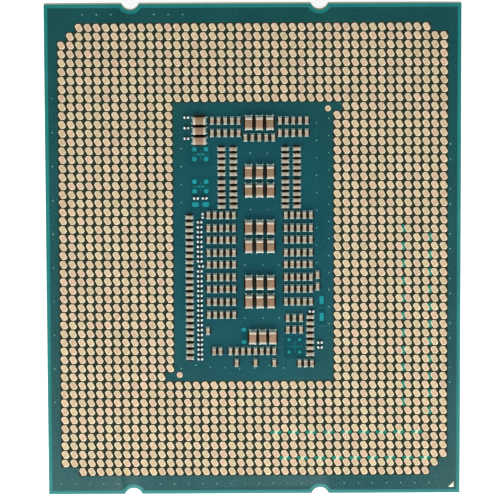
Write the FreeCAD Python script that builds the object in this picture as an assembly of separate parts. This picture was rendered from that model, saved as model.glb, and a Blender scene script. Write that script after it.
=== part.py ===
import FreeCAD, Part
import math
import os
from FreeCAD import Vector

# Desktop processor in a land-grid-array package, millimetres.
# It lies on its lid: Z = 0 is the lid's outer face, +Z points to the lands.
# X runs across the package's width and Y along its length. The origin is in
# the middle of the lid's outer face.

# ---- Driving dimensions -------------------------------------------------

PACKAGE_WIDTH = 37.5
PACKAGE_LENGTH = 45.0
NOTCH_RADIUS = 0.82
NOTCH_DEPTH = 0.56
NOTCH_X = (-11.0, 6.0)
COPPER_MARGIN = 0.30

LAND_PITCH = 0.8
LAND_COLUMNS = 44
LAND_ROWS = 52
LAND_THICKNESS = 0.02
WINDOW_ROWS = range(9, 41)
WINDOW_COLUMNS = range(13, 31)
# Row and column of the places outside the window that have no land: the
# package's corners, and the two fiducial marks at the window's corners.
MISSING_LANDS = {
    (0, 0), (0, 1), (0, 42), (0, 43), (1, 0), (9, 31),
    (40, 12), (50, 43), (51, 0), (51, 1), (51, 42), (51, 43),
}

# Components, spare pads and fiducial marks are set out from a point that
# lies this far off the package's middle.
COMPONENT_ORIGIN = Vector(-0.04, 0.04, 0)

LID_HEIGHT = 3.18
LID_SHOULDER_Z = 1.30
LID_CAVITY_DEPTH = 0.86
SEALANT_THICKNESS = 0.10
MASK_THICKNESS = 0.02
BUILDUP_THICKNESS = 0.32
CORE_THICKNESS = 0.42
PLANE_THICKNESS = 0.035

PLATEAU_WIDTH = 29.0
PLATEAU_LENGTH = 38.6
LID_BASE_WIDTH = 30.2
LID_BASE_LENGTH = 41.0
EAR_WIDTH = 34.0
EAR_LENGTH = 29.0
CAVITY_WIDTH = 24.6
CAVITY_LENGTH = 35.0

DIE_WIDTH = 10.5
DIE_LENGTH = 20.5
DIE_THICKNESS = 0.50
BUMP_HEIGHT = 0.08
BUMP_RADIUS = 0.25
BUMP_PITCH = 1.5
UNDERFILL_SKIRT = 0.8
UNDERFILL_CLIMB = 0.30

VIA_RADIUS = 0.15
VIA_PITCH = 4.0

# ---- Heights worked out from them ---------------------------------------

DIE_SIDE_Z = LID_HEIGHT + SEALANT_THICKNESS
DIE_BUILDUP_Z = DIE_SIDE_Z + MASK_THICKNESS
CORE_Z = DIE_BUILDUP_Z + BUILDUP_THICKNESS
LAND_BUILDUP_Z = CORE_Z + CORE_THICKNESS
LAND_MASK_Z = LAND_BUILDUP_Z + BUILDUP_THICKNESS
BOARD_TOP_Z = LAND_MASK_Z + MASK_THICKNESS
CAVITY_CEILING_Z = LID_HEIGHT - LID_CAVITY_DEPTH
DIE_BACK_Z = DIE_SIDE_Z - BUMP_HEIGHT - DIE_THICKNESS


# ---- Outlines -----------------------------------------------------------

def rounded_outline(corners, radius):
    """Closed wire through the corners in order, with an arc at each one."""
    count = len(corners)
    arcs = []
    for index, corner in enumerate(corners):
        to_last = (corners[index - 1] - corner).normalize()
        to_next = (corners[(index + 1) % count] - corner).normalize()
        half_angle = to_last.getAngle(to_next) / 2
        reach = radius / math.tan(half_angle)
        bisector = (to_last + to_next).normalize()
        centre = corner + bisector * (radius / math.sin(half_angle))
        start = corner + to_last * reach
        middle = centre - bisector * radius
        end = corner + to_next * reach
        arcs.append((start, middle, end))
    edges = []
    for index, (start, middle, end) in enumerate(arcs):
        edges.append(Part.Arc(start, middle, end).toShape())
        edges.append(Part.makeLine(end, arcs[(index + 1) % count][0]))
    return Part.Wire(edges)


def rectangle_corners(width, length):
    x = width / 2
    y = length / 2
    return [Vector(-x, -y, 0), Vector(x, -y, 0), Vector(x, y, 0), Vector(-x, y, 0)]


def prism(outline, low_z, height):
    """Solid that stands on the outline, from low_z upwards."""
    solid = Part.Face(outline).extrude(Vector(0, 0, height))
    solid.translate(Vector(0, 0, low_z))
    return solid


def rounded_slab(width, length, radius, low_z, height):
    outline = rounded_outline(rectangle_corners(width, length), radius)
    return prism(outline, low_z, height)


def centred_box(width, length, height, x, y, low_z):
    corner = Vector(x - width / 2, y - length / 2, low_z)
    return Part.makeBox(width, length, height, corner)


def package_outline(inset):
    """The package's edge, or a line this far inside it, with the key notches."""
    half_width = PACKAGE_WIDTH / 2 - inset
    half_length = PACKAGE_LENGTH / 2 - inset
    radius = NOTCH_RADIUS + inset
    centre_y = PACKAGE_LENGTH / 2 + NOTCH_RADIUS - NOTCH_DEPTH
    half_chord = math.sqrt(radius ** 2 - (centre_y - half_length) ** 2)
    edges = []
    for side in (-1, 1):
        # The -Y edge is walked towards +X, then the +Y edge towards -X.
        here = Vector(side * half_width, side * half_length, 0)
        for notch_x in sorted(NOTCH_X, reverse=side > 0):
            start = Vector(notch_x + side * half_chord, side * half_length, 0)
            apex = Vector(notch_x, side * (centre_y - radius), 0)
            end = Vector(notch_x - side * half_chord, side * half_length, 0)
            edges.append(Part.makeLine(here, start))
            edges.append(Part.Arc(start, apex, end).toShape())
            here = end
        corner = Vector(-side * half_width, side * half_length, 0)
        next_corner = Vector(-side * half_width, -side * half_length, 0)
        edges.append(Part.makeLine(here, corner))
        edges.append(Part.makeLine(corner, next_corner))
    return Part.Wire(edges)


# ---- Substrate ----------------------------------------------------------

def via_places():
    """Middle points of the coarse grid of plated vias."""
    columns = int(PACKAGE_WIDTH / VIA_PITCH)
    rows = int(PACKAGE_LENGTH / VIA_PITCH)
    for column in range(columns):
        for row in range(rows):
            x = (column - (columns - 1) / 2) * VIA_PITCH
            y = (row - (rows - 1) / 2) * VIA_PITCH
            yield x, y


def core_vias():
    posts = [
        Part.makeCylinder(VIA_RADIUS, CORE_THICKNESS, Vector(x, y, CORE_Z))
        for x, y in via_places()
    ]
    return Part.makeCompound(posts)


def substrate_core(vias):
    return prism(package_outline(0), CORE_Z, CORE_THICKNESS).cut(vias)


def copper_plane(low_z):
    return prism(package_outline(COPPER_MARGIN), low_z, PLANE_THICKNESS)


def buildup(low_z, plane):
    """Laminate that is pressed over the copper plane on the core's face."""
    return prism(package_outline(0), low_z, BUILDUP_THICKNESS).cut(plane)


def solder_mask(low_z):
    return prism(package_outline(0), low_z, MASK_THICKNESS)


# ---- Lands and marks ----------------------------------------------------

def land_shape():
    """One land: a slanted plate, rounded at its long -X+Y and +X-Y corners."""
    half_width = 0.345
    half_length = 0.352
    corner_radius = 0.25
    slant_end_x = 0.112
    slant_end_y = 0.074
    slant_end = Vector(slant_end_x, half_length, 0)
    slant_start = Vector(-half_width, slant_end_y, 0)
    arc_centre = Vector(corner_radius - half_width, half_length - corner_radius, 0)
    arc_start = arc_centre + Vector(0, corner_radius, 0)
    arc_middle = arc_centre + Vector(-corner_radius, corner_radius, 0) * math.sqrt(0.5)
    arc_end = arc_centre + Vector(-corner_radius, 0, 0)
    half_outline = [
        Part.makeLine(slant_end, arc_start),
        Part.Arc(arc_start, arc_middle, arc_end).toShape(),
        Part.makeLine(arc_end, slant_start),
        Part.makeLine(slant_start, slant_end * -1),
    ]
    outline = []
    for turn in (0, 180):
        outline += [edge.rotated(Vector(0, 0, 0), Vector(0, 0, 1), turn) for edge in half_outline]
    return prism(Part.Wire(outline), BOARD_TOP_Z, LAND_THICKNESS)


def land_block(rows, columns):
    """The lands of some rows and columns, counted from the -X+Y corner."""
    land = land_shape()
    lands = []
    for row in rows:
        for column in columns:
            if (row, column) in MISSING_LANDS:
                continue
            x = (column - (LAND_COLUMNS - 1) / 2) * LAND_PITCH
            y = ((LAND_ROWS - 1) / 2 - row) * LAND_PITCH
            lands.append(land.translated(Vector(x, y, 0)))
    return Part.makeCompound(lands)


def fiducial_marks():
    radius = 0.27
    places = [(6.80, 12.97), (-6.70, -11.46)]
    discs = [
        Part.makeCylinder(radius, LAND_THICKNESS, Vector(x, y, BOARD_TOP_Z))
        for x, y in places
    ]
    return Part.makeCompound(discs).translated(COMPONENT_ORIGIN)


def pin_one_mark(low_z):
    """Triangle whose square corner points into the package's +X-Y corner."""
    leg = 0.52
    x = 18.20
    y = -21.95
    corners = [Vector(x, y, 0), Vector(x, y + leg, 0), Vector(x - leg, y, 0)]
    outline = Part.makePolygon(corners + corners[:1])
    return prism(outline, low_z, LAND_THICKNESS)


def spare_component_pads():
    """Pads under the mask, at places left without a component."""
    thickness = 0.01
    square = (0.39, 0.39)
    wide = (0.60, 0.42)
    tall = (0.37, 0.75)
    short = (0.42, 0.35)
    corner_radius = 0.12
    dot_radius = 0.14
    pads = []

    def rectangles(size, columns, rows):
        pad = rounded_slab(*size, corner_radius, BOARD_TOP_Z, thickness)
        for x in columns:
            for y in rows:
                pads.append(pad.translated(Vector(x, y, 0)))

    rectangles(square, (-5.26, -4.20), (9.28, 8.39, 6.32, 5.45))
    rectangles(wide, (-5.18, -4.25), (4.23,))
    rectangles(tall, (6.20,), (-4.59, -6.15))
    rectangles(short, (-0.85,), (-7.30, -8.45))
    for x in (3.24, 4.21):
        for y in (-8.25, -9.40):
            pads.append(Part.makeCylinder(dot_radius, thickness, Vector(x, y, BOARD_TOP_Z)))
    return Part.makeCompound(pads).translated(COMPONENT_ORIGIN)


# ---- Capacitors ---------------------------------------------------------

class ChipKind:
    """Sizes of one kind of two-terminal chip, lying along its length."""

    def __init__(self, length, width, height, cap_length, cap_wall, solder_reach):
        self.length = length
        self.width = width
        self.height = height
        self.cap_length = cap_length
        self.cap_wall = cap_wall
        self.solder_reach = solder_reach
        self.standoff = 0.02
        self.solder_climb = 0.7 * height


LARGE_CHIP = ChipKind(1.16, 0.65, 0.60, 0.25, 0.02, 0.12)
SMALL_CHIP = ChipKind(0.63, 0.32, 0.32, 0.15, 0.015, 0.08)
TINY_CHIP = ChipKind(0.40, 0.20, 0.20, 0.11, 0.01, 0.07)

UPRIGHT = 90
CROSSWISE = 0


def grid_places(first_x, pitch_x, count_x, rows_y):
    """Middle points of a bank: evenly spaced along X, at each listed Y."""
    return [(first_x + index * pitch_x, y) for y in rows_y for index in range(count_x)]


def column_places(columns_x, first_y, pitch_y, count_y):
    """Middle points of a bank: at each listed X, evenly spaced down from first_y."""
    return [(x, first_y - index * pitch_y) for x in columns_x for index in range(count_y)]


def large_upright_places():
    places = grid_places(-0.35, 0.955, 3, (11.69,))
    for pair in range(3):
        upper_y = 7.23 - pair * 5.09
        places += grid_places(-0.38, 0.99, 3, (upper_y, upper_y - 1.69))
    return places + grid_places(-0.05, 0.905, 3, (-7.97,))


def large_crosswise_places():
    return column_places((-4.80,), 11.92, 0.91, 3)


def small_upright_places():
    paired_rows = [3.26 - pair * 2.26 - lower for pair in range(4) for lower in (0, 1.19)]
    places = grid_places(-3.66, 0.60, 5, (11.88, 10.76))
    places += grid_places(2.46, 0.603, 5, (11.88, 10.76))
    places += grid_places(-0.65, 0.626, 5, (10.34,))
    places += grid_places(-4.02, 0.574, 5, paired_rows + [-5.90])
    places += grid_places(2.97, 0.564, 5, paired_rows)
    places += grid_places(5.83, 0, 1, (-2.24, -3.31))
    places += grid_places(-4.12, 0, 1, (-7.39,))
    places += grid_places(3.12, 0.60, 3, (-6.23, -7.29))
    places += grid_places(-3.56, 0.57, 2, (-9.27,))
    places += grid_places(-2.08, 0.568, 8, (-9.27,))
    places += grid_places(-1.52, 1.71, 3, (-10.35,))
    places += grid_places(4.19, 0.563, 3, (-10.41,))
    return places


def small_crosswise_places():
    inner_columns = (-2.81, -1.75, 2.94, 3.98)
    places = column_places(inner_columns, 9.32, 0.57, 5)
    places += column_places(inner_columns, 6.34, 0.57, 5)
    places += column_places((-5.74,), 3.09, 0.5885, 23)
    places += column_places((5.16,), -6.11, 0.575, 7)
    return places


def tiny_crosswise_places():
    column_x = -4.82
    first_y = 2.64
    pitch = 0.451
    shifted_index = 9
    shift_x = 0.115
    places = column_places((-5.96,), 12.20, 0.96, 3)
    places += column_places((-5.13, -4.35), 4.82, 0, 1)
    for index in range(29):
        x = column_x + (shift_x if index == shifted_index else 0)
        places.append((x, first_y - index * pitch))
    places += column_places((5.29,), -5.62, 0, 1)
    places += column_places((6.05,), -8.50, 0.44, 2)
    return places


def tiny_upright_places():
    return [(-4.54, 3.22)]


def chip_body(kind):
    """Ceramic body, thinner all round than the metal caps over its ends."""
    trim = 2 * kind.cap_wall
    low_z = kind.standoff + kind.cap_wall
    return centred_box(kind.length - trim, kind.width - trim, kind.height - trim, 0, 0, low_z)


def chip_end_cap(kind, body):
    """Metal cup over the body's +X end."""
    middle_x = (kind.length - kind.cap_length) / 2
    block = centred_box(kind.cap_length, kind.width, kind.height, middle_x, 0, kind.standoff)
    return block.cut(body)


def chip_solder(kind):
    """Solder joint at the +X end: a film under the cap and a fillet up its end."""
    inner_x = kind.length / 2 - kind.cap_length
    end_x = kind.length / 2
    foot_x = end_x + kind.solder_reach
    top_z = kind.standoff + kind.solder_climb
    profile = [
        Vector(inner_x, -kind.width / 2, 0),
        Vector(foot_x, -kind.width / 2, 0),
        Vector(end_x, -kind.width / 2, top_z),
        Vector(end_x, -kind.width / 2, kind.standoff),
        Vector(inner_x, -kind.width / 2, kind.standoff),
    ]
    outline = Part.makePolygon(profile + profile[:1])
    return Part.Face(outline).extrude(Vector(0, kind.width, 0))


def both_ends(shape):
    return [shape, shape.rotated(Vector(0, 0, 0), Vector(0, 0, 1), 180)]


def placed(shapes, places, turn):
    """A copy of every shape at every place, standing on the board."""
    copies = []
    for x, y in places:
        for shape in shapes:
            turned = shape.rotated(Vector(0, 0, 0), Vector(0, 0, 1), turn)
            copies.append(turned.translated(COMPONENT_ORIGIN + Vector(x, y, BOARD_TOP_Z)))
    return copies


def chip_nodes(kind, upright, crosswise):
    """Bodies, end caps and solder of all the chips of one kind."""
    body = chip_body(kind)
    pieces = {
        "bodies": [body],
        "end_caps": both_ends(chip_end_cap(kind, body)),
        "solder": both_ends(chip_solder(kind)),
    }
    nodes = {}
    for piece, shapes in pieces.items():
        copies = placed(shapes, upright, UPRIGHT) + placed(shapes, crosswise, CROSSWISE)
        nodes[piece] = Part.makeCompound(copies)
    return nodes


# ---- Die and lid --------------------------------------------------------

def die():
    return centred_box(DIE_WIDTH, DIE_LENGTH, DIE_THICKNESS, 0, 0, DIE_BACK_Z)


def die_bumps():
    columns = int(DIE_WIDTH / BUMP_PITCH)
    rows = int(DIE_LENGTH / BUMP_PITCH)
    low_z = DIE_SIDE_Z - BUMP_HEIGHT
    bumps = []
    for column in range(columns):
        for row in range(rows):
            x = (column - (columns - 1) / 2) * BUMP_PITCH
            y = (row - (rows - 1) / 2) * BUMP_PITCH
            bumps.append(Part.makeCylinder(BUMP_RADIUS, BUMP_HEIGHT, Vector(x, y, low_z)))
    return Part.makeCompound(bumps)


def underfill(die_solid, bumps):
    """Resin round the bumps, with a sloping skirt up the die's sides."""
    rim_skirt = 0.05
    foot_corners = rectangle_corners(DIE_WIDTH + 2 * UNDERFILL_SKIRT, DIE_LENGTH + 2 * UNDERFILL_SKIRT)
    rim_corners = rectangle_corners(DIE_WIDTH + 2 * rim_skirt, DIE_LENGTH + 2 * rim_skirt)
    rim_z = DIE_SIDE_Z - BUMP_HEIGHT - UNDERFILL_CLIMB
    foot = rounded_outline(foot_corners, UNDERFILL_SKIRT)
    foot.translate(Vector(0, 0, DIE_SIDE_Z))
    rim = rounded_outline(rim_corners, rim_skirt)
    rim.translate(Vector(0, 0, rim_z))
    skirt = Part.makeLoft([foot, rim], True, True)
    return skirt.cut(die_solid).cut(bumps)


def thermal_solder():
    height = DIE_BACK_Z - CAVITY_CEILING_Z
    return centred_box(DIE_WIDTH, DIE_LENGTH, height, 0, 0, CAVITY_CEILING_Z)


def lid_base_corners(grow):
    """The lid's foot: a long rectangle with an ear on each long side."""
    end_x = LID_BASE_WIDTH / 2 + grow
    end_y = LID_BASE_LENGTH / 2 + grow
    ear_x = EAR_WIDTH / 2 + grow
    ear_y = EAR_LENGTH / 2 + grow
    quarter = [(end_x, end_y), (end_x, ear_y), (ear_x, ear_y)]
    right = [(x, -y) for x, y in quarter] + [(x, y) for x, y in reversed(quarter)]
    left = [(-x, -y) for x, y in right]
    return [Vector(x, y, 0) for x, y in right + left]


def heat_spreader():
    """Pressed lid: a raised plateau, a lower flange with ears, and a cavity."""
    corner_radius = 0.8
    plateau_radius = 1.6
    rim_round = 0.35
    tolerance = 0.01
    base_height = LID_HEIGHT - LID_SHOULDER_Z
    base = prism(rounded_outline(lid_base_corners(0), corner_radius), LID_SHOULDER_Z, base_height)
    shoulder_edges = [
        edge for edge in base.Edges
        if abs(edge.CenterOfMass.z - LID_SHOULDER_Z) < tolerance
    ]
    base = base.makeFillet(rim_round, shoulder_edges)
    plateau = rounded_slab(PLATEAU_WIDTH, PLATEAU_LENGTH, plateau_radius, 0, LID_SHOULDER_Z)
    face_edges = [edge for edge in plateau.Edges if abs(edge.CenterOfMass.z) < tolerance]
    plateau = plateau.makeFillet(rim_round, face_edges)
    cavity = rounded_slab(CAVITY_WIDTH, CAVITY_LENGTH, plateau_radius, CAVITY_CEILING_Z, LID_CAVITY_DEPTH)
    return base.fuse(plateau).removeSplitter().cut(cavity)


def lid_sealant():
    """Bead between the lid's foot and the board, open at one vent gap."""
    bulge = 0.12
    corner_radius = 0.9
    cavity_gap = 0.6
    inner_width = CAVITY_WIDTH + 2 * cavity_gap
    inner_length = CAVITY_LENGTH + 2 * cavity_gap
    inner_radius = 1.6
    vent_x = 9.0
    vent_width = 3.0
    vent_length = 6.0
    outline = rounded_outline(lid_base_corners(bulge), corner_radius)
    bead = prism(outline, LID_HEIGHT, SEALANT_THICKNESS)
    inside = rounded_slab(inner_width, inner_length, inner_radius, LID_HEIGHT, SEALANT_THICKNESS)
    vent_y = LID_BASE_LENGTH / 2
    vent = centred_box(vent_width, vent_length, SEALANT_THICKNESS, vent_x, vent_y, LID_HEIGHT)
    return bead.cut(inside).cut(vent)


# ---- The whole package --------------------------------------------------

def build_nodes():
    vias = core_vias()
    land_plane = copper_plane(LAND_BUILDUP_Z)
    die_plane = copper_plane(CORE_Z - PLANE_THICKNESS)
    every_column = range(LAND_COLUMNS)
    left_columns = range(WINDOW_COLUMNS.start)
    right_columns = range(WINDOW_COLUMNS.stop, LAND_COLUMNS)
    bumps = die_bumps()
    die_solid = die()
    nodes = {
        "substrate_core": substrate_core(vias),
        "core_vias": vias,
        "land_side_copper_plane": land_plane,
        "die_side_copper_plane": die_plane,
        "land_side_buildup": buildup(LAND_BUILDUP_Z, land_plane),
        "die_side_buildup": buildup(DIE_BUILDUP_Z, die_plane),
        "land_side_solder_mask": solder_mask(LAND_MASK_Z),
        "die_side_solder_mask": solder_mask(DIE_SIDE_Z),
        "lands_upper_block": land_block(range(WINDOW_ROWS.start), every_column),
        "lands_lower_block": land_block(range(WINDOW_ROWS.stop, LAND_ROWS), every_column),
        "lands_left_block": land_block(WINDOW_ROWS, left_columns),
        "lands_right_block": land_block(WINDOW_ROWS, right_columns),
        "fiducial_marks": fiducial_marks(),
        "pin_one_mark_land_side": pin_one_mark(BOARD_TOP_Z),
        "pin_one_mark_die_side": pin_one_mark(DIE_SIDE_Z - LAND_THICKNESS),
        "spare_component_pads": spare_component_pads(),
        "silicon_die": die_solid,
        "die_bumps": bumps,
        "die_underfill": underfill(die_solid, bumps),
        "thermal_solder": thermal_solder(),
        "heat_spreader": heat_spreader(),
        "lid_sealant": lid_sealant(),
    }
    chip_banks = {
        "large": (LARGE_CHIP, large_upright_places(), large_crosswise_places()),
        "small": (SMALL_CHIP, small_upright_places(), small_crosswise_places()),
        "tiny": (TINY_CHIP, tiny_upright_places(), tiny_crosswise_places()),
    }
    for size_name, bank in chip_banks.items():
        for piece, shape in chip_nodes(*bank).items():
            nodes[f"{size_name}_capacitor_{piece}"] = shape
    return nodes


def export_nodes():
    os.makedirs("parts", exist_ok=True)
    for name, shape in build_nodes().items():
        if not shape.isValid():
            raise ValueError(f"{name} is not a valid shape")
        shape.exportStep(f"parts/{name}.step")
        print(f"{name}: {len(shape.Solids)} solids, {shape.Volume:.3f} mm3")


export_nodes()
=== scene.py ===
import math

import bmesh
import bpy
import numpy as np
from mathutils import Euler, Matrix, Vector


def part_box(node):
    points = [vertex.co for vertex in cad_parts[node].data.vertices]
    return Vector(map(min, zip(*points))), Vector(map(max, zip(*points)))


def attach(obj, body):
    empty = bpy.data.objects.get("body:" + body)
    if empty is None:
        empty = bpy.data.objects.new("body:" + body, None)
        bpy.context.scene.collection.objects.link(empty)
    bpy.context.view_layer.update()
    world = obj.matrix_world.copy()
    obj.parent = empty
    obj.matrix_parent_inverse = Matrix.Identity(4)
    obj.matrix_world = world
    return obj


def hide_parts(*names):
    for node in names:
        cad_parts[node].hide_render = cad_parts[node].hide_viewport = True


# A desktop processor package lying on its lid, with its contact lands up.
# Sizes below are in millimetres and turn into metres when a mesh is made.
MM = 0.001
SEED = 1700

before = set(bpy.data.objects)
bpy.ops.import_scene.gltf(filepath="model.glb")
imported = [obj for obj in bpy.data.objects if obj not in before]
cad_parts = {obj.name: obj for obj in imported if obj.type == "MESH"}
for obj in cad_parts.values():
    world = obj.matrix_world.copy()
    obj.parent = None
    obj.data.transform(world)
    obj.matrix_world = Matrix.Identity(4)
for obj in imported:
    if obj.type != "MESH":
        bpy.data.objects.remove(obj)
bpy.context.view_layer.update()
random = np.random.default_rng(SEED)


# ---- Reading the frame --------------------------------------------------

def solid_boxes(node):
    """Lowest and highest corner of every separate solid of a CAD node, in mm."""
    same_point = 0.001 * MM
    work = bmesh.new()
    work.from_mesh(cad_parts[node].data)
    bmesh.ops.remove_doubles(work, verts=work.verts, dist=same_point)
    work.verts.ensure_lookup_table()
    seen = set()
    boxes = []
    for first in work.verts:
        if first.index in seen:
            continue
        seen.add(first.index)
        waiting = [first]
        points = []
        while waiting:
            vertex = waiting.pop()
            points.append(vertex.co / MM)
            for edge in vertex.link_edges:
                other = edge.other_vert(vertex)
                if other.index not in seen:
                    seen.add(other.index)
                    waiting.append(other)
        points = np.array(points)
        boxes.append((points.min(axis=0), points.max(axis=0)))
    work.free()
    return boxes


def node_box(node):
    """Lowest and highest corner of a whole CAD node, in mm."""
    low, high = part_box(node)
    return np.array(low) / MM, np.array(high) / MM


BOARD_LOW, BOARD_HIGH = node_box("land_side_solder_mask")
BOARD_TOP = BOARD_HIGH[2]
HALF_WIDTH = BOARD_HIGH[0]
HALF_LENGTH = BOARD_HIGH[1]
COPPER_MARGIN = HALF_WIDTH - node_box("land_side_copper_plane")[1][0]
NOTCH_RADIUS = 0.82
NOTCH_DEPTH = 0.56
NOTCH_X = (-11.0, 6.0)
NOTCH_CENTRE_Y = HALF_LENGTH + NOTCH_RADIUS - NOTCH_DEPTH
LAND_PITCH = 0.8
LAND_COLUMNS = 44
LAND_ROWS = 52


# ---- Outlines in the XY plane -------------------------------------------

def rounded_polygon(corners, radius, steps):
    """Points round a convex or concave polygon, with an arc at each corner."""
    corners = [np.array(corner, float) for corner in corners]
    count = len(corners)
    points = []
    for index, corner in enumerate(corners):
        to_last = corners[index - 1] - corner
        to_next = corners[(index + 1) % count] - corner
        to_last /= np.linalg.norm(to_last)
        to_next /= np.linalg.norm(to_next)
        half_angle = math.acos(np.clip(to_last @ to_next, -1, 1)) / 2
        bisector = (to_last + to_next) / np.linalg.norm(to_last + to_next)
        centre = corner + bisector * radius / math.sin(half_angle)
        start = corner + to_last * radius / math.tan(half_angle) - centre
        end = corner + to_next * radius / math.tan(half_angle) - centre
        for step in range(steps + 1):
            share = step / steps
            arm = start * (1 - share) + end * share
            points.append(centre + arm * radius / np.linalg.norm(arm))
    return np.array(points)


def rectangle(width, length):
    x = width / 2
    y = length / 2
    return [(-x, -y), (x, -y), (x, y), (-x, y)]


def unit_circle(steps):
    angles = np.linspace(0, 2 * math.pi, steps, endpoint=False)
    return np.column_stack([np.cos(angles), np.sin(angles)])


def moved_in(points, distance):
    """The outline moved inwards, or outwards for a negative distance."""
    ahead = np.roll(points, -1, axis=0) - points
    behind = points - np.roll(points, 1, axis=0)
    tangent = ahead / np.linalg.norm(ahead, axis=1)[:, None]
    tangent += behind / np.linalg.norm(behind, axis=1)[:, None]
    tangent /= np.linalg.norm(tangent, axis=1)[:, None]
    inwards = np.stack([-tangent[:, 1], tangent[:, 0]], axis=1)
    return points + inwards * distance


def at_height(outline, height):
    """The outline's XY points, all at one height."""
    return np.column_stack([outline, np.full(len(outline), height)])


def package_outline(inset):
    """The package's edge with its key notches, or a line inside it."""
    arc_steps = 24
    half_width = HALF_WIDTH - inset
    half_length = HALF_LENGTH - inset
    radius = NOTCH_RADIUS + inset
    reach = math.acos((NOTCH_CENTRE_Y - half_length) / radius)
    points = []
    for side in (-1, 1):
        points.append((side * half_width, side * half_length))
        for notch_x in sorted(NOTCH_X, reverse=side > 0):
            for step in range(arc_steps + 1):
                angle = reach * (1 - 2 * step / arc_steps)
                x = notch_x + side * radius * math.sin(angle)
                y = side * (NOTCH_CENTRE_Y - radius * math.cos(angle))
                points.append((x, y))
        points.append((-side * half_width, side * half_length))
    return np.array(points)


# ---- Mesh building ------------------------------------------------------

class Shape:
    """Points, faces, a material number for each face and a rim share for each point."""

    def __init__(self):
        self.points = []
        self.faces = []
        self.slots = []
        self.rims = []

    def add_points(self, points, rim=0.0):
        first = len(self.points)
        self.points.extend(tuple(point) for point in points)
        self.rims.extend(np.broadcast_to(rim, len(points)))
        return list(range(first, first + len(points)))

    def add_face(self, corners, slot=0):
        self.faces.append(tuple(corners))
        self.slots.append(slot)

    def add_flat(self, outline, height, slot):
        """Adds one face with that outline, counterclockwise from above."""
        self.add_face(self.add_points(at_height(outline, height)), slot)

    def bridge(self, lower, upper, slot=0, closed=True):
        count = len(lower)
        for index in range(count if closed else count - 1):
            after = (index + 1) % count
            self.add_face((lower[index], lower[after], upper[after], upper[index]), slot)

    def stack(self, rings, slot=0):
        """Bridges (outline, height, rim share) rings upwards. Returns their point numbers."""
        loops = [self.add_points(at_height(outline, height), rim) for outline, height, rim in rings]
        for lower, upper in zip(loops, loops[1:]):
            self.bridge(lower, upper, slot)
        return loops

    def closed_stack(self, rings, slot=0):
        loops = self.stack(rings, slot)
        self.add_face(reversed(loops[0]), slot)
        self.add_face(loops[-1], slot)


def make_piece(name, points, faces, slots, materials, tones=None):
    """A mesh object with smooth faces and sharp edges, on the package's one body."""
    sharp_from_degrees = 40
    mesh = bpy.data.meshes.new(name)
    mesh.from_pydata((np.asarray(points) * MM).tolist(), [], faces)
    for material in materials:
        mesh.materials.append(material)
    mesh.polygons.foreach_set("material_index", slots)
    mesh.polygons.foreach_set("use_smooth", [True] * len(mesh.polygons))
    mesh.set_sharp_from_angle(angle=math.radians(sharp_from_degrees))
    if tones is not None:
        layer = mesh.attributes.new("tone", "FLOAT_COLOR", "POINT")
        layer.data.foreach_set("color", np.asarray(tones, np.float32).ravel())
    mesh.update()
    piece = bpy.data.objects.new(name, mesh)
    bpy.context.scene.collection.objects.link(piece)
    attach(piece, "root")
    return piece


def scatter(name, shape, places, materials, wobble=0.0):
    """One piece made of a copy of the shape at every (x, y, z, turn in degrees).

    Each copy gets two random numbers for its colour and a random turn of up to wobble degrees.
    """
    base = np.array(shape.points)
    rims = np.array(shape.rims)
    points = []
    tones = []
    faces = []
    for index, (x, y, z, turn) in enumerate(places):
        chance = random.random(3)
        angle = math.radians(turn + wobble * (chance[2] * 2 - 1))
        cosine = math.cos(angle)
        sine = math.sin(angle)
        copy = np.column_stack([
            x + base[:, 0] * cosine - base[:, 1] * sine,
            y + base[:, 0] * sine + base[:, 1] * cosine,
            z + base[:, 2],
        ])
        points.append(copy)
        tones.append(np.column_stack([
            np.full(len(base), chance[0]),
            np.full(len(base), chance[1]),
            rims,
            np.ones(len(base)),
        ]))
        offset = index * len(base)
        faces.extend(tuple(corner + offset for corner in face) for face in shape.faces)
    slots = list(shape.slots) * len(places)
    return make_piece(name, np.vstack(points), faces, slots, materials, np.vstack(tones))


# ---- Material building --------------------------------------------------

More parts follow.
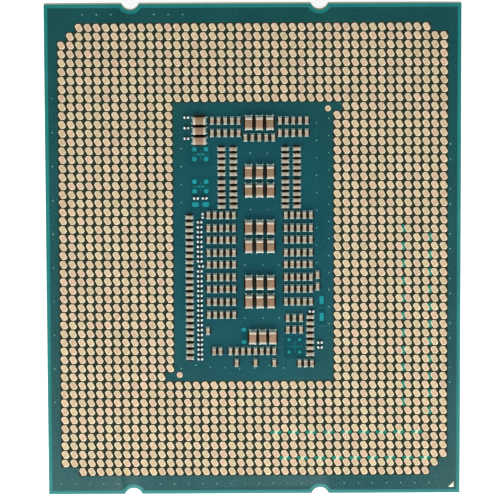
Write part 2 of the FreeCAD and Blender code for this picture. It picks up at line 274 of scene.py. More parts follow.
class Nodes:
    """A material's node tree, with a short call for each kind of node it needs."""

    def __init__(self, name):
        self.material = bpy.data.materials.new(name)
        self.material.use_nodes = True
        self.tree = self.material.node_tree
        self.shader = self.tree.nodes["Principled BSDF"]
        self.place = self.new("ShaderNodeTexCoord").outputs["Object"]

    def new(self, kind):
        return self.tree.nodes.new(kind)

    def feed(self, socket, value):
        if isinstance(value, bpy.types.NodeSocket):
            self.tree.links.new(value, socket)
        else:
            socket.default_value = value

    def setting(self, name, value):
        self.feed(self.shader.inputs[name], value)

    def multiplied(self, first, second, clamp=False):
        node = self.new("ShaderNodeMath")
        node.operation = "MULTIPLY"
        node.use_clamp = clamp
        self.feed(node.inputs[0], first)
        self.feed(node.inputs[1], second)
        return node.outputs[0]

    def stretched(self, scale):
        """The place on the object, with each axis scaled by its own number."""
        node = self.new("ShaderNodeMapping")
        self.feed(node.inputs["Vector"], self.place)
        node.inputs["Scale"].default_value = scale
        return node.outputs[0]

    def noise(self, size, detail, vector=None):
        """Cloudy noise whose spots are about size millimetres across."""
        node = self.new("ShaderNodeTexNoise")
        self.feed(node.inputs["Vector"], vector or self.place)
        node.inputs["Scale"].default_value = 1 / (size * MM)
        node.inputs["Detail"].default_value = detail
        node.inputs["Roughness"].default_value = 0.55
        return node.outputs["Fac"]

    def clouds(self, size, detail):
        """The same noise with more contrast, from about 0 to about 1."""
        return self.remap(self.noise(size, detail), 0.3, 0.7)

    def remap(self, value, low, high, to_low=0.0, to_high=1.0):
        node = self.new("ShaderNodeMapRange")
        self.feed(node.inputs["Value"], value)
        node.inputs["From Min"].default_value = low
        node.inputs["From Max"].default_value = high
        node.inputs["To Min"].default_value = to_low
        node.inputs["To Max"].default_value = to_high
        return node.outputs["Result"]

    def blend(self, share, first, second, mode="MIX"):
        """Two colours mixed. Inputs 6 and 7 and output 2 are the Mix node's colour sockets."""
        node = self.new("ShaderNodeMix")
        node.data_type = "RGBA"
        node.blend_type = mode
        self.feed(node.inputs["Factor"], share)
        self.feed(node.inputs[6], first)
        self.feed(node.inputs[7], second)
        return node.outputs[2]

    def tone(self):
        """The piece's own two random numbers and the rim share, as three sockets."""
        attribute = self.new("ShaderNodeAttribute")
        attribute.attribute_name = "tone"
        split = self.new("ShaderNodeSeparateColor")
        self.feed(split.inputs[0], attribute.outputs["Color"])
        return split.outputs[0], split.outputs[1], split.outputs[2]

    def bump(self, height, depth, strength):
        """Surface relief of that depth in millimetres."""
        node = self.new("ShaderNodeBump")
        node.inputs["Strength"].default_value = strength
        node.inputs["Distance"].default_value = depth * MM
        self.feed(node.inputs["Height"], height)
        self.setting("Normal", node.outputs[0])


def colour(red, green, blue):
    """A display colour of 0 to 255 a channel, as the linear one that shaders take."""
    def linear(value):
        share = value / 255
        return share / 12.92 if share <= 0.04045 else ((share + 0.055) / 1.055) ** 2.4
    return (linear(red), linear(green), linear(blue), 1.0)


def window_tint(nodes):
    """Greener near the package's edges and bluer in its component window."""
    bluer = (0.90, 1.0, 1.03, 1.0)
    greener = (1.12, 0.97, 0.84, 1.0)
    window_reach = 11.0 * MM
    edge_reach = 17.0 * MM
    x_stretch = 1.6
    distance = nodes.new("ShaderNodeVectorMath")
    distance.operation = "LENGTH"
    nodes.feed(distance.inputs[0], nodes.stretched((x_stretch, 1.0, 0.0)))
    share = nodes.remap(distance.outputs["Value"], window_reach, edge_reach)
    return nodes.blend(share, bluer, greener)


def mask_material(name, deep, light, roughness):
    """Coloured lacquer over copper or laminate, satin and slightly cloudy."""
    unevenness = 0.03
    nodes = Nodes(name)
    cloud = nodes.clouds(5.0, 4)
    grain = nodes.remap(nodes.noise(0.12, 2), 0.35, 0.65)
    base = nodes.blend(cloud, deep, light)
    speckled = nodes.blend(nodes.multiplied(grain, 0.06), base, light)
    nodes.setting("Base Color", nodes.blend(1.0, speckled, window_tint(nodes), "MULTIPLY"))
    shine = nodes.remap(grain, 0, 1, roughness - unevenness, roughness + unevenness)
    nodes.setting("Roughness", shine)
    nodes.setting("Specular IOR Level", 0.22)
    nodes.bump(nodes.noise(0.25, 3), 0.003, 0.1)
    return nodes.material


def gold_material(name):
    """Thin gold over nickel: pinkish to greenish, scuffed, with pale rims that are a painted highlight and
    dark edges that are painted shade.
    """
    pinkish = colour(191, 156, 127)
    greenish = colour(184, 164, 122)
    pale = colour(194, 194, 174)
    painted_edge_shade = colour(70, 52, 30)
    nodes = Nodes(name)
    hue_chance, light_chance, rim = nodes.tone()
    base = nodes.blend(hue_chance, pinkish, greenish)
    scuff = nodes.remap(nodes.noise(0.15, 4), 0.35, 0.7)
    base = nodes.blend(nodes.multiplied(scuff, 0.25), base, pale)
    # The pale colour serves both the scuffs and the rim's painted highlight; a negative rim share paints
    # shade on the side wall in the dark edge colour.
    base = nodes.blend(nodes.multiplied(rim, 1.0, clamp=True), base, pale)
    base = nodes.blend(nodes.multiplied(rim, -0.8, clamp=True), base, painted_edge_shade)
    shade = nodes.new("ShaderNodeHueSaturation")
    nodes.feed(shade.inputs["Color"], base)
    nodes.feed(shade.inputs["Value"], nodes.remap(light_chance, 0, 1, 0.92, 1.06))
    nodes.setting("Base Color", shade.outputs[0])
    nodes.setting("Metallic", 0.5)
    nodes.setting("Roughness", nodes.remap(scuff, 0, 1, 0.42, 0.55))
    nodes.bump(nodes.noise(0.05, 3), 0.003, 0.6)
    return nodes.material


def laminate_and_shadow_material():
    """Dark brown in the mask's openings: bare laminate with painted shadow round the pads, and only painted
    shadow round the chips.
    """
    nodes = Nodes("laminate_gap")
    cloud = nodes.clouds(0.3, 3)
    nodes.setting("Base Color", nodes.blend(cloud, colour(34, 22, 5), colour(42, 31, 12)))
    nodes.setting("Roughness", nodes.remap(cloud, 0, 1, 0.6, 0.8))
    nodes.setting("Specular IOR Level", 0.08)
    nodes.bump(nodes.noise(0.06, 2), 0.004, 0.6)
    return nodes.material


def metal_material(name, dull, bright, roughness, grain_size, metallic=0.85):
    """Cast or plated metal with clouds of dull and bright and a fine grain."""
    unevenness = 0.08
    nodes = Nodes(name)
    cloud = nodes.clouds(grain_size * 4, 4)
    grain = nodes.noise(grain_size, 3)
    shine = nodes.remap(grain, 0.3, 0.7, roughness - unevenness, roughness + unevenness)
    nodes.setting("Base Color", nodes.blend(cloud, dull, bright))
    nodes.setting("Metallic", metallic)
    nodes.setting("Roughness", shine)
    nodes.bump(grain, 0.003, 0.6)
    return nodes.material


def ceramic_material(name, shades):
    """Fired ceramic in three shades that differ from chip to chip, with lighter rounded edges."""
    first, second, third, lighter_edge = shades
    speckle = colour(205, 198, 190)
    nodes = Nodes(name)
    shade_chance, third_chance, rim = nodes.tone()
    grain = nodes.clouds(0.05, 3)
    base = nodes.blend(nodes.remap(shade_chance, 0.3, 0.7), first, second)
    base = nodes.blend(nodes.remap(third_chance, 0.5, 1.0), base, third)
    darker = nodes.blend(1.0, base, speckle, "MULTIPLY")
    base = nodes.blend(nodes.multiplied(grain, 0.5), base, darker)
    nodes.setting("Base Color", nodes.blend(nodes.multiplied(rim, 0.6), base, lighter_edge))
    nodes.setting("Roughness", nodes.remap(grain, 0, 1, 0.45, 0.62))
    nodes.bump(grain, 0.004, 0.6)
    return nodes.material


def tin_material(name, dull, bright):
    """Matt tin plate with a slightly grainy, uneven surface and a painted highlight on its rounded edges."""
    nodes = Nodes(name)
    _, light_chance, rim = nodes.tone()
    cloud = nodes.clouds(0.12, 4)
    grain = nodes.noise(0.03, 3)
    base = nodes.blend(nodes.multiplied(cloud, light_chance), dull, bright)
    # The rim share lightens the rounded edges towards the bright shade: a painted highlight.
    nodes.setting("Base Color", nodes.blend(nodes.multiplied(rim, 0.35), base, bright))
    nodes.setting("Metallic", 0.35)
    nodes.setting("Roughness", nodes.remap(grain, 0.3, 0.7, 0.36, 0.5))
    nodes.bump(grain, 0.004, 0.6)
    return nodes.material


def laminate_material(name, resin, fibre, layer_size):
    """Cut edge of glass-epoxy laminate: thin layers and upright cutter marks."""
    dust = colour(146, 154, 134)
    nodes = Nodes(name)
    layers = nodes.noise(layer_size, 3, nodes.stretched((0.06, 0.06, 1.0)))
    marks = nodes.noise(0.12, 3, nodes.stretched((1.0, 1.0, 0.12)))
    base = nodes.blend(nodes.remap(layers, 0.35, 0.65), resin, fibre)
    dusty = nodes.remap(marks, 0.45, 0.75, 0.0, 0.35)
    nodes.setting("Base Color", nodes.blend(dusty, base, dust))
    nodes.setting("Roughness", nodes.remap(marks, 0.3, 0.7, 0.55, 0.8))
    nodes.bump(marks, 0.02, 0.7)
    return nodes.material


def nickel_material():
    """Satin nickel plate: fine grain along Y and faint stains."""
    nodes = Nodes("nickel_plate")
    stains = nodes.remap(nodes.noise(6.0, 4), 0.35, 0.7)
    lines = nodes.noise(0.06, 3, nodes.stretched((1.0, 0.04, 1.0)))
    nodes.setting("Base Color", nodes.blend(stains, colour(132, 132, 130), colour(114, 113, 109)))
    nodes.setting("Metallic", 1.0)
    nodes.setting("Roughness", nodes.remap(lines, 0.3, 0.7, 0.28, 0.42))
    nodes.bump(lines, 0.002, 0.7)
    return nodes.material


def cloudy_material(name, first, second, size, roughness, metallic=0.0):
    """Two close shades in clouds, for resin, rubber and silicon."""
    nodes = Nodes(name)
    cloud = nodes.clouds(size, 4)
    nodes.setting("Base Color", nodes.blend(cloud, first, second))
    nodes.setting("Metallic", metallic)
    nodes.setting("Roughness", nodes.remap(cloud, 0, 1, roughness - 0.05, roughness + 0.1))
    nodes.bump(nodes.noise(size / 4, 3), size * 0.02, 0.5)
    return nodes.material


# ---- Materials ----------------------------------------------------------

def mask_finishes():
    """The solder mask over copper and laminate, and what shows through it."""
    return [
        mask_material("solder_mask", colour(9, 60, 66), colour(15, 68, 74), 0.285),
        mask_material("clear_margin", colour(14, 100, 104), colour(24, 110, 114), 0.34),
        mask_material("clear_patch", colour(1, 56, 61), colour(5, 62, 68), 0.30),
        mask_material("clear_spot", colour(4, 100, 90), colour(12, 112, 102), 0.34),
        mask_material("faint_trace", colour(4, 84, 86), colour(12, 96, 96), 0.32),
        mask_material("mask_over_via", colour(76, 138, 132), colour(104, 160, 154), 0.4),
        mask_material("pale_bridge", colour(154, 188, 170), colour(168, 200, 184), 0.4),
        mask_material("field_mask", colour(12, 34, 20), colour(20, 42, 27), 0.4),
        mask_material("masked_pad", colour(12, 112, 116), colour(24, 126, 130), 0.32),
    ]


def board_finishes():
    """Laminate and bare metal of the board and its lands."""
    return [
        gold_material("land_gold"),
        laminate_and_shadow_material(),
        laminate_material("core_laminate", colour(88, 98, 72), colour(118, 124, 96), 0.10),
        laminate_material("buildup_laminate", colour(54, 86, 66), colour(82, 106, 80), 0.05),
        metal_material("copper", colour(176, 104, 76), colour(206, 134, 100), 0.35, 0.1),
    ]


def chip_finishes():
    """Ceramics, end caps and solder of the three sizes of chip.

    A ceramic has three shades from chip to chip, then the lighter shade of its rounded edges.
    """
    large_shades = (colour(112, 80, 50), colour(131, 97, 74), colour(102, 80, 44), colour(148, 130, 108))
    small_shades = (colour(148, 132, 112), colour(135, 113, 98), colour(125, 124, 102), colour(154, 152, 137))
    tiny_shades = (colour(48, 46, 44), colour(66, 62, 56), colour(40, 40, 42), colour(90, 88, 84))
    return [
        ceramic_material("capacitor_ceramic", large_shades),
        ceramic_material("small_ceramic", small_shades),
        ceramic_material("dark_ceramic", tiny_shades),
        tin_material("tin_plate", colour(156, 149, 134), colour(177, 175, 163)),
        tin_material("small_tin", colour(138, 143, 130), colour(161, 166, 154)),
        tin_material("bright_tin", colour(196, 208, 208), colour(212, 222, 222)),
        # The teal tint of all three solders is a painted reflection of the mask, and the near-white solder on
        # the lobes a painted highlight; dull_solder on the fillets is the same solder without that highlight.
        metal_material("solder", colour(222, 244, 242), colour(236, 252, 251), 0.28, 0.05, 0.42),
        metal_material("dull_solder", colour(160, 184, 180), colour(180, 202, 197), 0.32, 0.05, 0.8),
        metal_material("bead_solder", colour(196, 212, 210), colour(214, 226, 224), 0.3, 0.05, 0.2),
    ]


def lid_and_die_finishes():
    """The lid, what glues it down, and the die under it."""
    return [
        nickel_material(),
        metal_material("thermal_metal", colour(170, 172, 176), colour(200, 202, 206), 0.5, 0.2),
        cloudy_material("sealant", colour(30, 30, 32), colour(46, 46, 48), 0.4, 0.5),
        cloudy_material("silicon", colour(92, 96, 108), colour(70, 74, 84), 1.5, 0.25, 0.5),
        cloudy_material("underfill_resin", colour(38, 40, 44), colour(56, 58, 60), 0.4, 0.4),
    ]


# The frame has materials of the same names, so a new one may end in .001, which is dropped here.
MATERIALS = {
    material.name.split(".")[0]: material
    for finishes in (mask_finishes(), board_finishes(), chip_finishes(), lid_and_die_finishes())
    for material in finishes
}


# ---- Solder mask --------------------------------------------------------

def build_solder_mask():
    """Mask over the copper pour, which ends in a small step near every edge."""
    step_depth = 0.012
    step_width = 0.03
    chamfer_height = 0.004
    chamfer_width = 0.006
    margin_slot = 1
    outer = package_outline(0)
    margin_height = BOARD_TOP - step_depth
    shape = Shape()
    loops = shape.stack([
        (outer, BOARD_LOW[2], 0),
        (outer, margin_height - chamfer_height, 0),
        (package_outline(chamfer_width), margin_height, 0),
        (package_outline(COPPER_MARGIN), margin_height, 0),
        (package_outline(COPPER_MARGIN + step_width), BOARD_TOP, 0),
    ], margin_slot)
    shape.add_face(reversed(loops[0]), margin_slot)
    shape.add_face(loops[-1])
    materials = [MATERIALS["solder_mask"], MATERIALS["clear_margin"]]
    piece = make_piece("solder_mask_with_margin", shape.points, shape.faces, shape.slots, materials)
    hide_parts("land_side_solder_mask")


def flat_patch(shape, x_range, y_range, height, slot):
    """Adds a rectangle that lies on the mask."""
    west, east = x_range
    south, north = y_range
    shape.add_flat([(west, south), (east, south), (east, north), (west, north)], height, slot)


def flat_oval(shape, x, y, radii, height, slot):
    shape.add_flat(unit_circle(16) * radii + (x, y), height, slot)


def arrowhead(shape, x, y, side, height, slot):
    """Adds a flat triangle that lies to one side of (x, y) along X and points at it."""
    tip_gap = 0.05
    length = 0.22
    half_width = 0.13
    tip_x = x + side * tip_gap
    base_x = x + side * (tip_gap + length)
    corners = [(tip_x, y), (base_x, y + half_width), (base_x, y - half_width)]
    if side > 0:
        corners.reverse()
    shape.add_flat(corners, height, slot)


def low_dome(shape, x, y, radius, height, slot):
    circle = unit_circle(10)
    rings = [
        (circle * radius + (x, y), BOARD_TOP, 0),
        (circle * radius * 0.7 + (x, y), BOARD_TOP + height * 0.7, 0),
        (circle * radius * 0.3 + (x, y), BOARD_TOP + height, 0),
    ]
    shape.closed_stack(rings, slot)


def via_row(first_x, first_y, step_x, step_y, count):
    """Places of a straight row of vias."""
    return [(first_x + index * step_x, first_y + index * step_y) for index in range(count)]


def via_places():
    """Plated vias that show through the mask, along the edges and between the chips."""
    unevenness = 0.5
    clearance = 0.45
    places = via_row(-17.6, -21.55, 1.29, 0, 27)
    places += via_row(-15.3, 21.57, 1.29, 0, 8)
    right_margin = via_row(17.8, 11.08, 0, -1.37, 19)
    places += [place for index, place in enumerate(right_margin) if index % 3]
    places += via_row(-18.1, 14.0, 0, -3.1, 10)
    places += via_row(5.72, 11.70, 0, -1.60, 10)
    places += via_row(6.83, 12.10, 0, -1.57, 13)
    places += via_row(-6.50, 9.40, 0, -1.65, 4)
    places += [(x, y) for y in (8.95, 3.79) for x in (-0.25, 1.30)]
    places += [(x, y) for y in (-1.30, -6.20) for x in (-0.79, 0.87, 2.30)]
    uneven_row = via_row(-6.6, -11.0, 1.33, 0, 10)
    places += [(x, y + unevenness * random.random()) for x, y in uneven_row]
    notches = [(x, side * HALF_LENGTH) for x in NOTCH_X for side in (-1, 1)]
    reach = NOTCH_RADIUS + COPPER_MARGIN + clearance
    return [
        (x, y) for x, y in places
        if all(math.hypot(x - notch[0], y - notch[1]) > reach for notch in notches)
    ]


def add_copper_free_patches(shape, patch_slot, trace_slot, arrow_slot):
    """Rectangles without copper round the spare pads, and their crossed traces.

    Each layer lies a little higher than the one it covers, so that no two share a plane.
    """
    patches = [
        ((-5.81, -3.60), (7.77, 9.64)),
        ((-5.74, -3.76), (3.81, 6.86)),
        ((2.73, 4.60), (-9.95, -7.85)),
        ((-1.18, -0.55), (-8.70, -6.95)),
        ((5.92, 6.52), (-6.90, -3.97)),
    ]
    # Middle of each cross and the length of its arms along X and Y.
    arrow_crosses = [(-4.73, 8.85, 0.79, 0.45), (-4.73, 5.92, 0.79, 0.45)]
    plain_cross = (3.73, -8.83, 0.70, 0.52)
    bar_x_range = (5.80, 6.62)
    bar_places_y = (-5.28, -6.93)
    half_trace = 0.035
    patch_height = BOARD_TOP + 0.001
    trace_height = BOARD_TOP + 0.003
    upper_trace_height = BOARD_TOP + 0.0035
    arrow_height = BOARD_TOP + 0.004
    for x_range, y_range in patches:
        flat_patch(shape, x_range, y_range, patch_height, patch_slot)
    for x, y, arm_x, arm_y in arrow_crosses + [plain_cross]:
        trace_y_range = (y - half_trace, y + half_trace)
        trace_x_range = (x - half_trace, x + half_trace)
        flat_patch(shape, (x - arm_x, x + arm_x), trace_y_range, trace_height, trace_slot)
        flat_patch(shape, trace_x_range, (y - arm_y, y + arm_y), upper_trace_height, trace_slot)
    for x, y, _, _ in arrow_crosses:
        for side in (-1, 1):
            arrowhead(shape, x, y, side, arrow_height, arrow_slot)
    for y in bar_places_y:
        flat_patch(shape, bar_x_range, (y - half_trace, y + half_trace), trace_height, trace_slot)


def between_lands(column, row):
    """Place in the land grid. Halves lie between two columns or rows, counted from the top left."""
    x = (column - (LAND_COLUMNS - 1) / 2) * LAND_PITCH
    y = ((LAND_ROWS - 1) / 2 - row) * LAND_PITCH
    return x, y


def add_field_spots(shape, spot_slot, bridge_slot):
    """Copper-free spots and pale bridges in the gaps between some lands."""
    tall_spot = (0.21, 0.38)
    side_spot = (0.20, 0.17)
    side_spot_offset = 0.32
    bridge = (0.12, 0.15)
    spots_in_column = 11
    spot_height = BOARD_TOP + 0.004
    bridge_height = BOARD_TOP + 0.0225
    for first_row, column in ((23, 38.5), (24, 41.5)):
        for row in range(first_row, first_row + 2 * spots_in_column, 2):
            x, y = between_lands(column, row)
            flat_oval(shape, x, y, tall_spot, spot_height, spot_slot)
    for row, columns in ((46.5, range(24, 42, 2)), (49.5, range(25, 43, 2))):
        for column in columns:
            x, y = between_lands(column, row)
            flat_oval(shape, x - side_spot_offset, y, side_spot, spot_height, spot_slot)
            flat_oval(shape, x + side_spot_offset, y, side_spot, spot_height, spot_slot)
            flat_oval(shape, x, y, bridge, bridge_height, bridge_slot)


def build_mask_details():
    """Vias, copper-free patches, crossed traces and spots seen through the mask."""
    finishes = ("clear_patch", "faint_trace", "masked_pad", "mask_over_via", "clear_spot", "pale_bridge")
    slot = {finish: index for index, finish in enumerate(finishes)}
    via_height = 0.006
    shape = Shape()
    add_copper_free_patches(shape, slot["clear_patch"], slot["faint_trace"], slot["masked_pad"])
    for x, y in via_places():
        radius = 0.05 + 0.02 * random.random()
        low_dome(shape, x, y, radius, via_height, slot["mask_over_via"])
    add_field_spots(shape, slot["clear_spot"], slot["pale_bridge"])
    materials = [MATERIALS[finish] for finish in finishes]
    piece = make_piece("mask_details", shape.points, shape.faces, shape.slots, materials)
    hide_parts("land_side_solder_mask")


# ---- Lands and marks ----------------------------------------------------

# Material numbers of a plated pad, after its own gold.
SURROUND_SLOT = 1
FIELD_SLOT = 2


def land_outline():
    """Slanted land: two wide round corners and, between them, two slants with soft ends."""
    half_width = 0.345
    half_length = 0.352
    corner_radius = 0.25
    soft_radius = 0.05
    slant_top = np.array([0.112, half_length])
    slant_left = np.array([-half_width, 0.074])
    centre = np.array([corner_radius - half_width, half_length - corner_radius])
    angles = np.radians(np.linspace(90, 180, 7))
    arc = centre + corner_radius * np.column_stack([np.cos(angles), np.sin(angles)])
    # Round the slant's soft upper end, round the wide corner, then to the next slant's upper end.
    half = [slant_top + step for step in ((0.03, -soft_radius), (0, -0.006), (-soft_radius, 0))]
    half += list(arc[1:])
    half += [slant_left, slant_left + (0.012, -0.03)]
    half = np.array(half)
    return np.vstack([half, -half])


def plated_shape(outline, surround):
    """A plated pad with painted shade on its dark edge, a raised rim with a painted highlight and a slightly
    sunken middle.

    The painted highlight on its rim is palest at the upper left and lower right. Bare laminate darkened by
    painted shadow surrounds it.
    """
    # The negative rim share on the edge rings is painted shade on the side wall; the positive share on the
    # rim is a painted highlight.
    dark = -1.0
    edge_height = 0.010
    rim_inset = 0.012
    rim_outer_height = 0.019
    rim_width = 0.048
    rim_inner_height = 0.021
    middle_inset = 0.120
    middle_height = 0.015
    ground_height = 0.0015
    direction = outline / np.linalg.norm(outline, axis=1)[:, None]
    diagonal = (direction[:, 1] - direction[:, 0]) ** 2 / 2
    painted_highlight = 0.35 + 0.65 * diagonal ** 2
    shape = Shape()
    shape.closed_stack([
        (outline, 0.0, dark),
        (outline, edge_height, dark),
        (moved_in(outline, rim_inset), rim_outer_height, painted_highlight),
        (moved_in(outline, rim_inset + rim_width), rim_inner_height, painted_highlight),
        (moved_in(outline, middle_inset), middle_height, 0.0),
    ])
    surround_outline = moved_in(outline, -surround)
    shape.stack([(surround_outline, ground_height, 0), (outline, ground_height, 0)], SURROUND_SLOT)
    return shape


def land_places(node):
    """Middle of every land of a node, with every other land a hair higher."""
    hair = 0.0008
    places = []
    for low, high in solid_boxes(node):
        middle = (low + high) / 2
        parity = round(middle[0] / LAND_PITCH - 0.5) + round(middle[1] / LAND_PITCH - 0.5)
        places.append((middle[0], middle[1], BOARD_TOP + hair * (parity % 2), 0))
    return places


def build_lands():
    """Four blocks of lands, each land with bare laminate darkened by painted shadow and its tile of field
    mask round it.
    """
    surround = 0.085
    field_height = 0.0005
    shape = plated_shape(land_outline(), surround)
    tile = (-LAND_PITCH / 2, LAND_PITCH / 2)
    flat_patch(shape, tile, tile, field_height, FIELD_SLOT)
    materials = [MATERIALS["land_gold"], MATERIALS["laminate_gap"], MATERIALS["field_mask"]]
    for block in ("upper", "lower", "left", "right"):
        node = f"lands_{block}_block"
        piece = scatter(f"plated_lands_{block}", shape, land_places(node), materials)
        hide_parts(node)


def build_fiducials():
    """Round gold marks in two corners of the component window."""
    surround = 0.05
    discs = solid_boxes("fiducial_marks")
    radius = (discs[0][1][0] - discs[0][0][0]) / 2
    shape = plated_shape(unit_circle(40) * radius, surround)
    places = [
        ((low[0] + high[0]) / 2, (low[1] + high[1]) / 2, BOARD_TOP, 0)
        for low, high in discs
    ]
    materials = [MATERIALS["land_gold"], MATERIALS["laminate_gap"]]
    piece = scatter("plated_fiducials", shape, places, materials)
    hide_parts("fiducial_marks")


def build_pin_one_triangle():
    """Gold triangle that marks pin one's corner."""
    low, high = node_box("pin_one_mark_land_side")
    corners = [(low[0], low[1]), (high[0], low[1]), (high[0], high[1])]
    outline = rounded_polygon(corners, 0.03, 3)
    shape = Shape()
    shape.closed_stack([
        (outline, 0.0, 0.3),
        (outline, 0.012, 0.8),
        (moved_in(outline, 0.012), 0.020, 1.0),
    ])
    piece = scatter("plated_pin_one_triangle", shape, [(0, 0, BOARD_TOP, 0)], [MATERIALS["land_gold"]])
    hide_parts("pin_one_mark_land_side")


# ---- Chips --------------------------------------------------------------

def add_rounded_block(shape, outline, radius, low, high, side_rim):
    """Adds an upright block whose lower and upper edges are rounded."""
    shape.closed_stack([
        (moved_in(outline, radius / 2), low, 0),
        (outline, low + radius / 2, 0.3),
        (outline, high - radius, side_rim),
        (moved_in(outline, radius * 0.3), high - radius * 0.3, 1.0),
        (moved_in(outline, radius), high, 0.2),
    ])


def body_shape(length, width, low, high):
    """Ceramic block with rounded edges."""
    radius = 0.14 * width
    shape = Shape()
    outline = rounded_polygon(rectangle(length, width), radius, 3)
    add_rounded_block(shape, outline, radius, low, high, 1.0)
    return shape


def cap_shape(length, cap_length, width, low, high):
    """Metal end caps of one chip: rounded blocks over both ends."""
    radius = min(0.3 * cap_length, 0.12 * width)
    shape = Shape()
    for side in (-1, 1):
        middle = np.array([side * (length - cap_length) / 2, 0])
        outline = rounded_polygon(rectangle(cap_length, width), radius, 3) + middle
        add_rounded_block(shape, outline, radius, low, high, 0.6)
    return shape


def dome(shape, centre, radius_x, radius_y, height):
    """Adds half an ellipsoid that stands on the board."""
    steps = 5
    circle = unit_circle(14) * (radius_x, radius_y)
    rings = []
    for step in range(steps):
        turn = step / steps * math.pi / 2
        rings.append((circle * math.cos(turn) + centre, height * math.sin(turn), 1.0))
    shape.closed_stack(rings)


def fillet_row(length, width, height, reach, turn):
    """One line of points across a hollow fillet, lowest in its middle."""
    across_steps = 8
    middle_share = 0.65
    reach_share = 0.8
    height_share = 0.75
    row = []
    for across in range(across_steps + 1):
        y = (across / across_steps - 0.5) * width
        dip = middle_share + (1 - middle_share) * abs(2 * y / width) ** 2
        x = length / 2 + reach * reach_share * dip * (1 - math.sin(turn))
        z = height * height_share * dip * (1 - math.cos(turn))
        row.append(np.array([x, y, z]))
    return row


def solder_shape(length, width, height, reach):
    """Solder at both ends: a hollow fillet between two lobes at the corners."""
    steps = 5
    fillet_slot = 1
    lobe = 0.11 * width
    lobe_x = length / 2 + 0.55 * reach
    lobe_y = width / 2 - 0.7 * lobe
    shape = Shape()
    for side in (-1, 1):
        for flank in (-1, 1):
            dome(shape, (side * lobe_x, flank * lobe_y), lobe, lobe, 0.25 * height)
        rows = []
        for step in range(steps + 1):
            row = fillet_row(length, width - lobe, height, reach, step / steps * math.pi / 2)
            rows.append(shape.add_points([point * (side, side, 1) for point in row]))
        for lower, upper in zip(rows, rows[1:]):
            shape.bridge(lower, upper, fillet_slot, closed=False)
    return shape


def bead_shape(length, width, height):
    """Solder that has run right over both ends of a tiny chip, as round beads."""
    overlap = 0.015
    bead_radius_x = 0.095
    shape = Shape()
    for side in (-1, 1):
        centre = (side * (length / 2 - overlap), 0)
        dome(shape, centre, bead_radius_x, 0.5 * width, 1.06 * height)
    return shape


def shadow_sheet_shape(length, width, border):
    """Dark sheet on the mask round a chip, reaching past its long sides: painted shadow beside and between
    the chips.
    """
    ground_height = 0.002
    outline = rounded_polygon(rectangle(length - 0.5 * border, width + 2 * border), 0.5 * border, 3)
    shape = Shape()
    shape.add_flat(outline, ground_height, 0)
    return shape


def chip_places(node):
    """Middle and turn of every chip, at four slightly different heights."""
    hair = 0.0006
    places = []
    for index, (low, high) in enumerate(solid_boxes(node)):
        size = high - low
        turn = 90 if size[1] > size[0] else 0
        middle = (low + high) / 2
        places.append((middle[0], middle[1], BOARD_TOP + hair * (index % 4), turn))
    return places


def plan_size(box):
    """Longer and shorter side of a box, seen from above."""
    low, high = box
    return max((high - low)[:2]), min((high - low)[:2])


def chip_shapes(size_name, border):
    """Body, end caps, solder and painted-shadow sheet of one chip, sized from the CAD nodes."""
    body_box = solid_boxes(f"{size_name}_capacitor_bodies")[0]
    cap_box = solid_boxes(f"{size_name}_capacitor_end_caps")[0]
    joint_box = solid_boxes(f"{size_name}_capacitor_solder")[0]
    body_length, body_width = plan_size(body_box)
    body_low, body_high = (corner[2] - BOARD_TOP for corner in body_box)
    cap_low, cap_high = (corner[2] - BOARD_TOP for corner in cap_box)
    cap_length = plan_size(cap_box)[1]
    cap_wall = cap_high - body_high
    length = body_length + 2 * cap_wall
    width = body_width + 2 * cap_wall
    reach = plan_size(joint_box)[1] - cap_length
    if size_name == "tiny":
        joints = bead_shape(length, width, cap_high)
    else:
        joints = solder_shape(length, width, cap_high, reach)
    return (
        body_shape(body_length, body_width, body_low, body_high),
        cap_shape(length, cap_length, width, cap_low, cap_high),
        joints,
        shadow_sheet_shape(length, width, border),
    )


def build_chips(size_name, body_finish, cap_finish, joint_finishes, border):
    """All chips of one size. Their parts share the same random turns and shades."""
    body, caps, joints, ground = chip_shapes(size_name, border)
    parts = [
        ("bodies", "ceramic_bodies", [body_finish], body),
        ("end_caps", "plated_ends", [cap_finish], caps),
        ("solder", "solder_joints", joint_finishes, joints),
        # The dark sheet round each chip is painted shadow, in the laminate_gap colour.
        ("solder", "painted_shadow_ground", ["laminate_gap"], ground),
    ]
    places = chip_places(f"{size_name}_capacitor_bodies")
    state = random.bit_generator.state
    for node_part, name, finishes, shape in parts:
        random.bit_generator.state = state
        materials = [MATERIALS[finish] for finish in finishes]
        piece = scatter(f"{size_name}_{name}", shape, places, materials, wobble=1.5)
        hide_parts(f"{size_name}_capacitor_{node_part}")


# ---- CAD nodes that keep their shape ------------------------------------

def dress_nodes():
    """Gives every CAD node the finished material of its slot."""
    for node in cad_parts.values():
        for slot in node.material_slots:
            slot.material = MATERIALS[slot.material.name.split(".")[0]]


# ---- Stage, light and camera, in metres ---------------------------------

def build_floor():
    """Matt pale floor that glows a little, so that it comes out nearly white."""
    half_size = 3.0
    grey = (0.75, 0.75, 0.75, 1)
    white = (1, 1, 1, 1)
    corners = [(x, y, 0) for x, y in rectangle(2 * half_size, 2 * half_size)]
    mesh = bpy.data.meshes.new("floor")
    mesh.from_pydata(corners, [], [(0, 1, 2, 3)])
    floor = bpy.data.objects.new("floor", mesh)
    bpy.context.scene.collection.objects.link(floor)
    material = bpy.data.materials.new("floor")
    material.use_nodes = True
    shader = material.node_tree.nodes["Principled BSDF"]
    shader.inputs["Base Color"].default_value = grey
    shader.inputs["Roughness"].default_value = 0.9
    shader.inputs["Specular IOR Level"].default_value = 0.1
    shader.inputs["Emission Color"].default_value = white
    shader.inputs["Emission Strength"].default_value = 0.62
    mesh.materials.append(material)


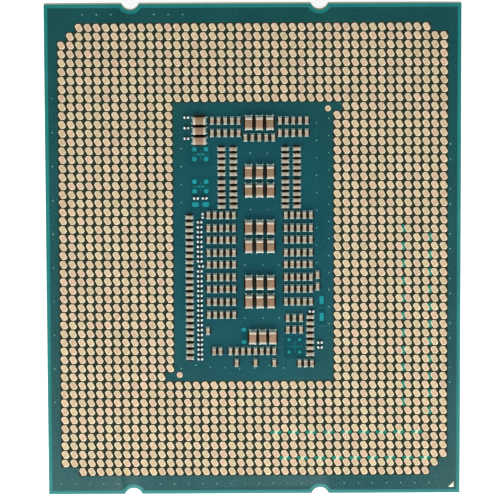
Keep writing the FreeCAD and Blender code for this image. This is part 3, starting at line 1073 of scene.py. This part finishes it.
def build_world():
    """Soft tent light: bright all round the horizon and dimmer overhead."""
    horizon_strength = 1.2
    overhead_strength = 0.22
    horizon_height = 0.15
    overhead_height = 0.75
    world = bpy.data.worlds.new("studio")
    world.use_nodes = True
    bpy.context.scene.world = world
    tree = world.node_tree
    place = tree.nodes.new("ShaderNodeTexCoord")
    split = tree.nodes.new("ShaderNodeSeparateXYZ")
    ramp = tree.nodes.new("ShaderNodeMapRange")
    ramp.inputs["From Min"].default_value = horizon_height
    ramp.inputs["From Max"].default_value = overhead_height
    ramp.inputs["To Min"].default_value = horizon_strength
    ramp.inputs["To Max"].default_value = overhead_strength
    tree.links.new(place.outputs["Generated"], split.inputs[0])
    tree.links.new(split.outputs[2], ramp.inputs["Value"])
    background = tree.nodes["Background"]
    tree.links.new(ramp.outputs[0], background.inputs["Strength"])
    background.inputs["Color"].default_value = (1, 1, 1, 1)


def add_softbox(name, place, size, power):
    """A rectangular light that faces the package."""
    data = bpy.data.lights.new(name, "AREA")
    data.shape = "RECTANGLE"
    data.size, data.size_y = size
    data.energy = power
    light = bpy.data.objects.new(name, data)
    light.location = place
    light.rotation_euler = (-Vector(place)).to_track_quat("-Z", "Y").to_euler()
    bpy.context.scene.collection.objects.link(light)


def build_lights():
    """Two lights at the sides, one beyond the package and a broad one on the near side."""
    add_softbox("softbox_left", (-0.26, -0.14, 0.28), (0.25, 0.25), 0.56)
    add_softbox("softbox_right", (0.26, -0.14, 0.28), (0.25, 0.25), 0.42)
    add_softbox("softbox_far", (0, 0.34, 0.24), (0.3, 0.2), 0.48)
    add_softbox("softbox_near", (0, -0.29, 0.22), (0.45, 0.2), 2.05)


def build_camera():
    """Long lens almost straight above, slightly tilted, which sees the whole package."""
    turns = (-10.098, -0.279, -0.213)
    data = bpy.data.cameras.new("camera")
    data.lens = 345.4
    data.sensor_width = 36
    data.clip_start = 0.01
    camera = bpy.data.objects.new("camera", data)
    camera.location = (-0.00211, 0.07618, 0.43164)
    camera.rotation_euler = Euler([math.radians(turn) for turn in turns])
    bpy.context.scene.collection.objects.link(camera)
    bpy.context.scene.camera = camera


build_solder_mask()
build_lands()
build_fiducials()
build_pin_one_triangle()
build_mask_details()
build_chips("large", "capacitor_ceramic", "tin_plate", ["solder", "dull_solder"], 0.15)
build_chips("small", "small_ceramic", "small_tin", ["solder", "dull_solder"], 0.13)
build_chips("tiny", "dark_ceramic", "bright_tin", ["bead_solder"], 0.05)
dress_nodes()
build_floor()
build_world()
build_lights()
build_camera()
bpy.context.scene.view_settings.view_transform = "Standard"
